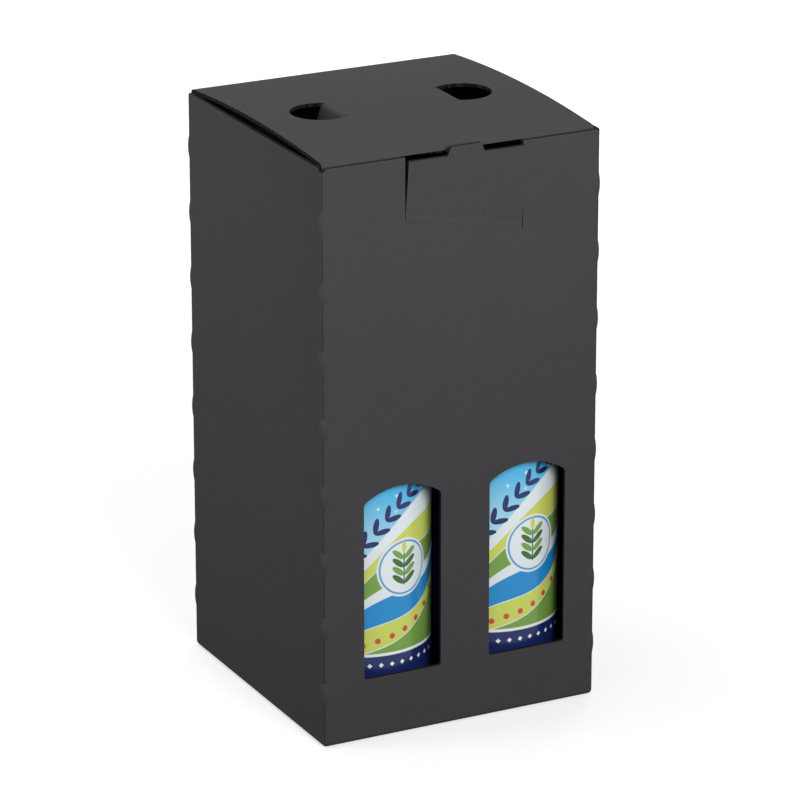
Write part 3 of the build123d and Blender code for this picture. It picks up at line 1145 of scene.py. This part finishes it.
def ribbon_point(u, height, rise, shift):
    """Height and slope of a ribbon's line."""
    turn = 2 * pi * u / ribbon_length + shift
    climb = ribbon_climb + rise * cos(turn) * 2 * pi / ribbon_length
    return height + rise * sin(turn) + ribbon_climb * u, atan2(climb, 1)


for i in range(row_count):
    leaf_u = (i + vine_first) * vine_step
    leaf_v, slope = ribbon_point(leaf_u, *vine_line)
    for side in (-1, 1):
        lean = slope + side * vine_lean
        middle_u = leaf_u + cos(lean) * leaf_long
        middle_v = leaf_v + sin(lean) * leaf_long
        layer = stamp(layer, ink_navy, inside_oval(oval(middle_u, middle_v, lean, leaf_long, leaf_wide)))
    berry_u = (i + berry_first) * berry_step
    berry_v, slope = ribbon_point(berry_u, *berry_line)
    layer = stamp(layer, ink_berry, inside_oval(oval(berry_u, berry_v, 0.0, berry_radius, berry_radius)))
print("leaves on the vine:", 2 * row_count, "berries:", row_count)

# %% [markdown]
# ## The wrap's print: badge and sprig
# A pale round badge sits over the ribbons: a disc and two rings. A ring could be the space between two
# circles, but three discs of falling size, each laid over the last, need only one measure. The sprig on
# it is a stem with pairs of oval leaves and a bud at its tip.

# %% Badge and sprig
ink_white = colour(246, 248, 246)
ink_deep_green = colour(66, 106, 56)
badge_u = 6 * mm
badge_v = 54 * mm
badge_radius = 13 * mm
badge_discs = [(1.0, ink_white), (0.93, ink_blue), (0.87, ink_pale)]
stem_half = 0.35 * mm
stem_reach = 8 * mm
sprig_start = 5 * mm
sprig_step = 3.7 * mm
sprig_out = 2.9 * mm
sprig_lean = radians(38)
bud_rise = 9 * mm
bud_long = 2.6 * mm
bud_wide = 1.2 * mm

badge = oval(badge_u, badge_v, 0.0, badge_radius, badge_radius)
for rim, ink in badge_discs:
    layer = stamp(layer, ink, inside_oval(badge, rim))
stem_u = ink_calc("SUBTRACT", print_u, badge_u)
stem_v = ink_calc("SUBTRACT", print_v, badge_v)
stem = ink_calc("MULTIPLY", within(stem_u, stem_half), within(stem_v, stem_reach))
layer = stamp(layer, ink_deep_green, stem)
for pair, ink in enumerate((ink_deep_green, ink_green, ink_deep_green, ink_green)):
    leaf_v = badge_v - sprig_start + pair * sprig_step
    for side in (-1, 1):
        leaf = oval(badge_u + side * sprig_out, leaf_v, side * sprig_lean, leaf_long, leaf_wide)
        layer = stamp(layer, ink, inside_oval(leaf))
bud = oval(badge_u, badge_v + bud_rise, radians(90), bud_long, bud_wide)
layer = stamp(layer, ink_lime, inside_oval(bud))
print("badge:", round(2 * badge_radius / mm), "mm across")

# %% [markdown]
# ## The wrap's print: frame and foot
# A white line frames the picture, with navy below it and on both sides. Both come from one measure, the
# distance to the nearest side of the frame. A row of small diamonds decorates the foot: Ping-pong folds
# U into a zigzag, and its sum with the distance from the row's height has diamonds as its level lines.
# The paper's gloss varies a little with its grain, under a thin clear coat.

# %% Frame, foot and gloss
foot_line = 16.6 * mm
panel_half = 30 * mm
frame_line = 1.3 * mm
diamond_pitch = 5 * mm
diamond_half = 1.1 * mm
diamond_v = 11.2 * mm
paper_matt = 0.24
grain_matt = 0.14

panel_out = ink_calc("ABSOLUTE", stem_u)
from_foot = ink_calc("SUBTRACT", print_v, foot_line)
from_side = ink_calc("SUBTRACT", panel_half, panel_out)
frame_depth = ink_calc("MINIMUM", from_foot, from_side)
layer = stamp(layer, ink_white, below(frame_depth, 0))
layer = stamp(layer, ink_navy, below(frame_depth, -frame_line))
zigzag = ink_calc("PINGPONG", print_u, diamond_pitch / 2)
from_row = ink_calc("ABSOLUTE", ink_calc("SUBTRACT", print_v, diamond_v))
diamonds = below(ink_calc("ADD", zigzag, from_row), diamond_half)
diamonds = ink_calc("MULTIPLY", diamonds, below(panel_out, panel_half))
layer = stamp(layer, ink_white, diamonds)
link(print_finish, layer, print_shader.inputs["Base Color"])
grain = noise(print_finish, uv, scale=900.0, detail=3.0)
print_matt = ink_calc("MULTIPLY_ADD", grain, grain_matt, paper_matt)
link(print_finish, print_matt, print_shader.inputs["Roughness"])
set_values(print_shader, {"Specular IOR Level": 0.3, "Coat Weight": 0.2, "Coat Roughness": 0.12})
print("print nodes:", len(print_finish.node_tree.nodes))

# %% [markdown]
# ## The bottles: sizes
# These are long-neck bottles for a third of a litre. Their height, width and place come from the CAD
# boxes. What a box can't tell, such as the shoulder, the wall and the lip, is written here once, because
# the glass and the drink share it.

# %% Sizes of the bottle
glass_low, glass_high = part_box("bottle_front_left")
bottle_foot = glass_low.z
bottle_height = glass_high.z - glass_low.z
bottle_radius = (glass_high.x - glass_low.x) / 2
glass_wall = 2.6 * mm
neck_wall = 3.4 * mm
floor_glass = 6 * mm
foot_hollow = 4 * mm
heel = 5 * mm
shoulder_start = 123.4 * mm
shoulder_rise = 56 * mm
neck_radius = 14.2 * mm
ring_start = 213.4 * mm
# Points of a section, as radius and height in millimetres: the hollow foot, the ring below the cap,
# counted from its start, and the lip, counted from the top.
foot_profile = [(14, 3), (20, 1.2), (23, 0)]
ring_profile = [(13.3, 0), (14.1, 0.6), (14.3, 1.5), (14.1, 3.4), (12.4, 4), (12.3, 11.6), (13.0, 12.2)]
lip_profile = [(13.2, -2), (12.8, -0.6), (11.6, 0), (9.2, 0), (8.3, -1.2)]
print("bottle:", round(bottle_height / mm, 1), "mm high,", round(2 * bottle_radius / mm, 1), "mm across")

# %% [markdown]
# ## The bottles: glass
# A bottle is blown, so it is round. A stack of cylinders would show its joints. Instead half of the
# section is drawn as one line, from the middle of the foot up to the lip and down the inside again, and
# spun once about the axis, which also gives the glass its wall. The heel is a point spun through a
# quarter turn, and the shoulder is a half wave from the body's radius to the neck's, which a loop works
# out.

# %% The glass
heel_steps = 6
shoulder_steps = 14
spin_steps = 64


def line_to(bm, vert, radius, height):
    made = bmesh.ops.extrude_vert_indiv(bm, verts=[vert])["verts"][0]
    made.co = (radius, 0, height)
    return made


def shoulder_points(body, neck):
    points = []
    for i in range(shoulder_steps + 1):
        wave = (1 + cos(pi * i / shoulder_steps)) / 2
        points.append((neck + (body - neck) * wave, shoulder_start + shoulder_rise * i / shoulder_steps))
    return points


def turn_round(bm, steps):
    bmesh.ops.spin(bm, geom=everything(bm), cent=(0, 0, 0), axis=(0, 0, 1), angle=2 * pi, steps=steps,
                   use_merge=True)
    bmesh.ops.remove_doubles(bm, verts=bm.verts, dist=0.001 * mm)
    bmesh.ops.recalc_face_normals(bm, faces=bm.faces)


def glass_shell(bm):
    vert = bm.verts.new((0, 0, foot_hollow))
    for radius, height in foot_profile:
        vert = line_to(bm, vert, radius * mm, height * mm)
    vert = line_to(bm, vert, bottle_radius - heel, 0)
    vert = spin_point(bm, vert, (bottle_radius - heel, 0, heel), (0, -1, 0), pi / 2, heel_steps)
    for radius, height in shoulder_points(bottle_radius, neck_radius):
        vert = line_to(bm, vert, radius, height)
    for start, profile in ((ring_start, ring_profile), (bottle_height, lip_profile)):
        for radius, above in profile:
            vert = line_to(bm, vert, radius * mm, start + above * mm)
    vert = line_to(bm, vert, vert.co.x, ring_start)
    for radius, height in reversed(shoulder_points(bottle_radius - glass_wall, neck_radius - neck_wall)):
        vert = line_to(bm, vert, radius, height)
    vert = line_to(bm, vert, bottle_radius - glass_wall, floor_glass + heel)
    vert = line_to(bm, vert, bottle_radius - glass_wall - heel / 2, floor_glass)
    line_to(bm, vert, 0, floor_glass)
    turn_round(bm, spin_steps)


print("shoulder:", shoulder_steps, "steps over", round(shoulder_rise / mm), "mm")

# %% [markdown]
# ## The bottles: drink
# The drink fills the bottle up into its shoulder. It could share the glass's inner wall, but two
# surfaces in the same place flicker, so its section follows the inside of the glass at a tenth of a
# millimetre.

# %% The drink
drink_room = 0.1 * mm
headroom = 62 * mm
fill_level = bottle_height - headroom
fill_taper = 1.4 * mm


def drink_body(bm):
    body = bottle_radius - glass_wall - drink_room
    vert = bm.verts.new((0, 0, floor_glass + drink_room))
    vert = line_to(bm, vert, body - heel / 2, floor_glass + drink_room)
    vert = line_to(bm, vert, body, floor_glass + heel)
    for radius, height in shoulder_points(body, neck_radius - neck_wall - drink_room):
        if height < fill_level:
            vert = line_to(bm, vert, radius, height)
    vert = line_to(bm, vert, vert.co.x - fill_taper, fill_level)
    line_to(bm, vert, 0, fill_level)
    turn_round(bm, spin_steps)


print("drink: filled to", round(fill_level / mm, 1), "mm")

# %% [markdown]
# ## The bottles: wrap
# The wrap is a strip of paper that leaves a narrow part of the bottle bare at the back. A band cut out
# of the glass would lie in the glass, not on it. One upright edge is spun through the wrap's angle
# instead. Its UV map is laid out in metres, for the print, before Solidify gives the paper its
# thickness.

# %% The wrap
wrap_low, wrap_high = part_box("label_front_left")
wrap_radius = (wrap_high.x - wrap_low.x) / 2
wrap_angle = radians(250)
wrap_steps = 80
paper = 0.2 * mm


def wrap_sheet(bm):
    low = bm.verts.new((0, -wrap_radius, wrap_low.z - bottle_foot))
    high = bm.verts.new((0, -wrap_radius, wrap_high.z - bottle_foot))
    edge = bm.edges.new((low, high))
    bmesh.ops.rotate(bm, cent=(0, 0, 0), matrix=Matrix.Rotation(-wrap_angle / 2, 3, "Z"), verts=bm.verts)
    bmesh.ops.spin(bm, geom=[low, high, edge], cent=(0, 0, 0), axis=(0, 0, 1), angle=wrap_angle,
                   steps=wrap_steps)
    print_map = bm.loops.layers.uv.new("print")
    for face in bm.faces:
        for loop in face.loops:
            around = atan2(loop.vert.co.x, -loop.vert.co.y)
            loop[print_map].uv = (around * wrap_radius, loop.vert.co.z - wrap_low.z + bottle_foot)
        outward = face.calc_center_median()
        outward.z = 0
        if face.normal.dot(outward) < 0:
            face.normal_flip()
    bmesh.ops.solidify(bm, geom=bm.faces[:], thickness=paper)
    bmesh.ops.recalc_face_normals(bm, faces=bm.faces)


print("wrap:", round(wrap_angle * wrap_radius / mm), "by", round((wrap_high.z - wrap_low.z) / mm), "mm")

# %% [markdown]
# ## The bottles: crown cap
# A crown cap is pressed from tinplate, and its skirt is crimped into twenty-one flutes. Modelling one
# flute and repeating it would need a perfect join between them. Here the plain shell is spun from its
# section with eight steps for each flute, and a cosine moves the points of the skirt in and out, more
# towards the rim.

# %% The crown cap
flutes = 21
flute_steps = 8
flute_depth = 0.5 * mm
flute_inset = 0.7
flute_start = 1.2 * mm
cap_lift = 0.4 * mm
cap_height = 6 * mm
skirt_radius = 13.2 * mm
# Points of the section, as radius and depth below the top in millimetres: down the outside to the rim,
# then up the inside to the bottle's lip.
cap_profile = [(11.4, 0), (12.6, 0.25), (13.4, 0.8), (13.75, 1.7), (13.95, 2.8), (14.35, 3.9),
               (14.85, 5.0), (15.2, 6.0), (14.8, 6.0), (14.4, 4.9), (13.9, 3.8), (13.5, 2.6),
               (13.35, 1.6), (12.5, 0.35), (0, 0.35)]


def cap_shell(bm):
    top = bottle_height + cap_lift
    vert = bm.verts.new((0, 0, top))
    for radius, depth in cap_profile:
        vert = line_to(bm, vert, radius * mm, top - depth * mm)
    turn_round(bm, flute_steps * flutes)
    for vert in bm.verts:
        radius = hypot(vert.co.x, vert.co.y)
        if radius > skirt_radius:
            low = ease((top - flute_start - vert.co.z) / (cap_height - flute_start))
            crimp = cos(flutes * atan2(vert.co.y, vert.co.x)) - flute_inset
            scale = 1 + flute_depth * low * crimp / radius
            vert.co.x *= scale
            vert.co.y *= scale


print("crown cap:", flutes, "flutes,", round(cap_height / mm, 1), "mm high")

# %% [markdown]
# ## Four bottles in the carton
# The carton holds two rows of two. Linked copies of one bottle would be lighter, but a finished piece
# has its place in its mesh, as a CAD node does. So a loop draws each piece afresh, moves its points to
# the CAD bottle's place and lets it ride on the carton.

# %% Four bottles in the carton
round_shade = radians(40)
# What each bottle is made of: name, drawing, finish, material slot and the CAD node that it replaces.
bottle_pieces = [
    ("glass", glass_shell, amber_glass, "amber_glass", "bottle"),
    ("fill", drink_body, drink_finish, "drink", "drink"),
    ("wrap", wrap_sheet, print_finish, "printed_paper", "label"),
    ("cap", cap_shell, cap_finish, "cap_metal", "crown_cap"),
]

for row in ("front", "back"):
    for column in ("left", "right"):
        spot = "_" + row + "_" + column
        low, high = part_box("bottle" + spot)
        place = Vector(((low.x + high.x) / 2, (low.y + high.y) / 2, low.z))
        for name, draw, finish, slot, node in bottle_pieces:
            bm = bmesh.new()
            draw(bm)
            bmesh.ops.translate(bm, vec=place, verts=bm.verts)
            piece = new_object(bm, name + spot, finish)
            smooth(piece, round_shade)
            tie(piece, "carton", slot, node + spot)

# %% [markdown]
# ## Floor
# The carton stands on a plain pale floor. A floor that only reflects the lamps would turn grey in the
# distance, and a floor that only glows would lose the shadow, so it does both. For the camera, and for
# what shines or shows through glass, it glows a little, and more so further away, until it meets the
# white background. For the soft light that it throws back it is darker, which lets the walls fall off to
# the foot.

# %% Floor
floor_size = 6.0
floor_drop = 0.2 * mm
glow_near = 0.55
glow_far = 0.70
glow_start = 0.1
glow_end = 0.95
floor_paint = (0.5, 0.5, 0.5, 1)
floor_bounce = colour(72, 72, 72)


def ray_is_seen(finish):
    """1 for rays from the camera and rays mirrored or let through by glass, 0 for soft light."""
    rays = add_node(finish, "ShaderNodeLightPath", {}).outputs
    seen = calc(finish, "MAXIMUM", rays["Is Camera Ray"], rays["Is Transmission Ray"])
    return calc(finish, "MAXIMUM", seen, rays["Is Glossy Ray"])


ground = bmesh.new()
bmesh.ops.create_grid(ground, x_segments=2, y_segments=2, size=floor_size / 2)
bmesh.ops.translate(ground, vec=(0, 0, -floor_drop), verts=ground.verts)
floor_finish, plain_shader = new_finish("floor")
floor_finish.node_tree.nodes.remove(plain_shader)
place = object_place(floor_finish)
away = add_node(floor_finish, "ShaderNodeVectorMath", {0: place}, operation="LENGTH").outputs["Value"]
far_share = edge_mask(floor_finish, away, glow_start, glow_end)
strength = calc(floor_finish, "MULTIPLY_ADD", far_share, glow_far - glow_near, glow_near)
paint = add_node(floor_finish, "ShaderNodeBsdfDiffuse", {"Color": floor_paint})
glow = add_node(floor_finish, "ShaderNodeEmission", {"Color": (1, 1, 1, 1), "Strength": strength})
bright = add_node(floor_finish, "ShaderNodeAddShader", {0: paint.outputs[0], 1: glow.outputs[0]})
dull = add_node(floor_finish, "ShaderNodeBsdfDiffuse", {"Color": floor_bounce})
shown = {0: ray_is_seen(floor_finish), 1: dull.outputs[0], 2: bright.outputs[0]}
mixed = add_node(floor_finish, "ShaderNodeMixShader", shown)
link(floor_finish, mixed.outputs[0], floor_finish.node_tree.nodes["Material Output"].inputs["Surface"])
floor = new_object(ground, "floor", floor_finish)
print("floor:", floor_size, "m")

# %% [markdown]
# ## World
# The background is white. A white world at full strength would flood the carton with light, so the world
# is white only where it is seen, directly or in gloss and glass. For lighting it is a weak, even fill.

# %% World
world_light = 0.42

world = bpy.data.worlds.new("studio")
world.use_nodes = True
bpy.context.scene.world = world
sky = world.node_tree.nodes["Background"]
strength = calc(world, "MULTIPLY_ADD", ray_is_seen(world), 1.0 - world_light, world_light)
link(world, strength, sky.inputs["Strength"])
set_values(sky, {"Color": (1, 1, 1, 1)})
print("world light:", world_light)

# %% [markdown]
# ## Lamps
# One sun would light each wall evenly from top to bottom. In a small studio tent the lamps are soft and
# close, and their light falls off over the height of the carton. So disc lamps stand near: one in front
# and a little high, and one on the left that is level with the lid. That one lights the left wall and
# hardly reaches the flap inside the finger hole. One above and behind is for the lid, and one low behind
# on the right is for the two walls that the camera doesn't see.

# %% Lamps
def soft_lamp(name, place, size, power):
    lamp = bpy.data.lights.new(name, "AREA")
    lamp.shape = "DISK"
    lamp.size = size
    lamp.energy = power
    holder = bpy.data.objects.new(name, lamp)
    holder.location = place
    aim = Vector((0, 0, wall_height / 2)) - holder.location
    holder.rotation_euler = aim.to_track_quat("-Z", "Y").to_euler()
    bpy.context.scene.collection.objects.link(holder)
    print(name, "at", [round(value, 2) for value in holder.location])


soft_lamp("front_lamp", place=(-0.035, -0.60, 0.45), size=0.35, power=3.15)
soft_lamp("left_lamp", place=(-0.38, 0.06, 0.27), size=0.16, power=0.55)
soft_lamp("top_lamp", place=(-0.12, 0.42, 0.86), size=0.45, power=2.3)
soft_lamp("back_lamp", place=(0.85, 0.85, 0.32), size=0.45, power=4.5)

# %% [markdown]
# ## Camera
# The camera looks from the front left, about twenty degrees down. A short lens close by would make the
# upright edges run together towards the foot. They hardly do, so the camera stands two metres away with
# a long lens.

# %% Camera
camera_place = (-0.8710, -1.7177, 0.8117)
camera_look = Vector((0.4276, 0.8393, -0.3358))
camera_lens = 213.48

view = bpy.data.cameras.new("camera")
view.sensor_width = 36
view.lens = camera_lens
camera = bpy.data.objects.new("camera", view)
camera.location = camera_place
camera.rotation_euler = camera_look.to_track_quat("-Z", "Y").to_euler()
bpy.context.scene.collection.objects.link(camera)
bpy.context.scene.camera = camera
bpy.context.scene.view_settings.view_transform = "Standard"
print("camera lens:", camera_lens, "mm")
